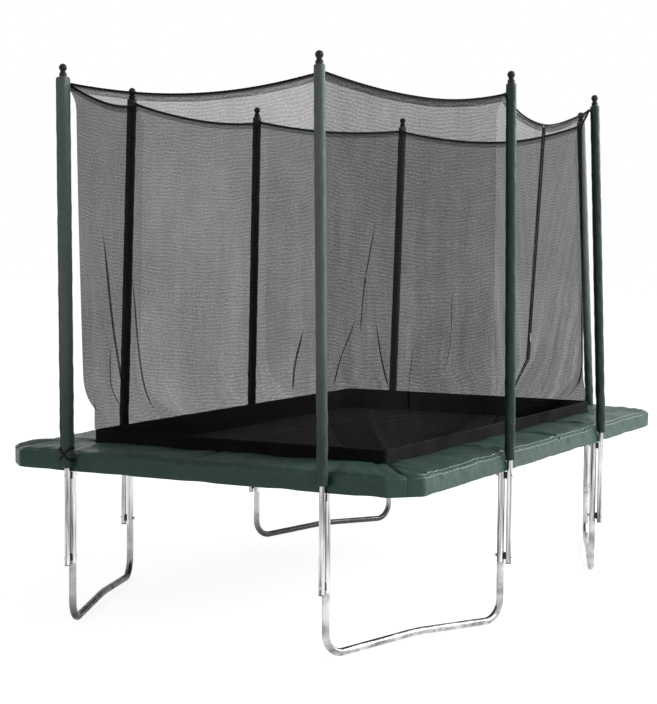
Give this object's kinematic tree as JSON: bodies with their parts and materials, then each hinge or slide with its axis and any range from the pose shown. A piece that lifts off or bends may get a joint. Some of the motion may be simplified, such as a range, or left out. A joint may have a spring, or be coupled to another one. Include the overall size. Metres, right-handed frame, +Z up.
{
  "type": "enclosed garden trampoline",
  "caption": "Rectangular garden trampoline on U-shaped tube legs, with a sprung mat, a padded rim and a net enclosure with a zipped door held up by padded poles.",
  "frame": {"origin": "on the ground under the centre of the trampoline", "axes": "+X across the short way, towards the side with the zip door; +Y along the long way; +Z up"},
  "size_m": [2.337, 3.7276, 2.7],
  "materials": {
    "rail_steel": "galvanised, satin",
    "leg_steel": "galvanised, satin",
    "pole_steel": "galvanised, satin",
    "sleeve_foam": "closed-cell foam",
    "sleeve_fabric": "dark green coated cloth, slightly glossy",
    "black_plastic": "moulded, slightly glossy",
    "bolt_steel": "zinc plated",
    "spacer_plastic": "moulded, matt",
    "spring_steel": "zinc plated wire",
    "mat_fabric": "woven, matt",
    "band_fabric": "woven, matt",
    "pad_fabric": "dark green coated cloth, satin",
    "black_webbing": "woven webbing and cord",
    "net_mesh": "fine knitted mesh",
    "zip_tape": "woven tape",
    "zip_plastic": "moulded teeth",
    "zip_metal": "cast, satin"
  },
  "bodies": {
    "frame": {"side_rails": "rail_steel", "end_rails": "rail_steel", "corner_bends": "rail_steel", "leg_uprights": "leg_steel", "leg_base_near_left": "leg_steel", "leg_base_near_right": "leg_steel", "leg_base_far_right": "leg_steel", "leg_base_far_left": "leg_steel", "pole_lower_tubes": "pole_steel", "pole_upper_tubes": "pole_steel", "pole_foam": "sleeve_foam", "pole_sleeves": "sleeve_fabric", "pole_caps": "black_plastic", "pole_end_plugs": "black_plastic", "upper_bolts": "bolt_steel", "lower_bolts": "bolt_steel", "upper_nuts": "bolt_steel", "lower_nuts": "bolt_steel", "upper_washers": "bolt_steel", "lower_washers": "bolt_steel", "upper_spacers": "spacer_plastic", "lower_spacers": "spacer_plastic", "springs_near": "spring_steel", "springs_far": "spring_steel", "springs_left": "spring_steel", "springs_right": "spring_steel", "pad_near": "pad_fabric", "pad_far": "pad_fabric", "pad_left": "pad_fabric", "pad_right": "pad_fabric", "pad_ties": "black_webbing", "top_rope": "black_webbing", "net_hooks": "black_webbing", "net_near": "net_mesh", "net_near_right": "net_mesh", "net_right_front": "net_mesh", "net_right_rear": "net_mesh", "net_far_right": "net_mesh", "net_far": "net_mesh", "net_far_left": "net_mesh", "net_left": "net_mesh", "net_near_left": "net_mesh", "zip_tapes": "zip_tape", "zip_teeth": "zip_plastic"},
    "mat": {"mat_sheet": "mat_fabric", "mat_webbing": "mat_fabric", "v_rings": "spring_steel", "net_foot_band": "band_fabric"},
    "slider": {"zip_slider": "zip_metal"},
    "pull": {"zip_pull": "zip_metal"}
  },
  "joints": [
    {"name": "mat_bounce", "type": "slide", "parent": "frame", "child": "mat", "axis": [0, 0, -1], "range_m": [0, 0.15], "stiffness_N_per_m": 4000, "springref_m": -0.12, "deforming": ["springs_near", "springs_far", "springs_left", "springs_right"]},
    {"name": "zip_slide", "type": "slide", "parent": "frame", "child": "slider", "axis": [-0.0114, 0.1784, 0.9839], "range_m": [-0.109, 1.089]},
    {"name": "zip_pull_swing", "type": "hinge", "parent": "slider", "child": "pull", "pos_m": [1.04386, -0.17995, 1.39527], "axis": [0.008, -0.9839, 0.1785], "range_deg": [0, 100]}
  ]
}
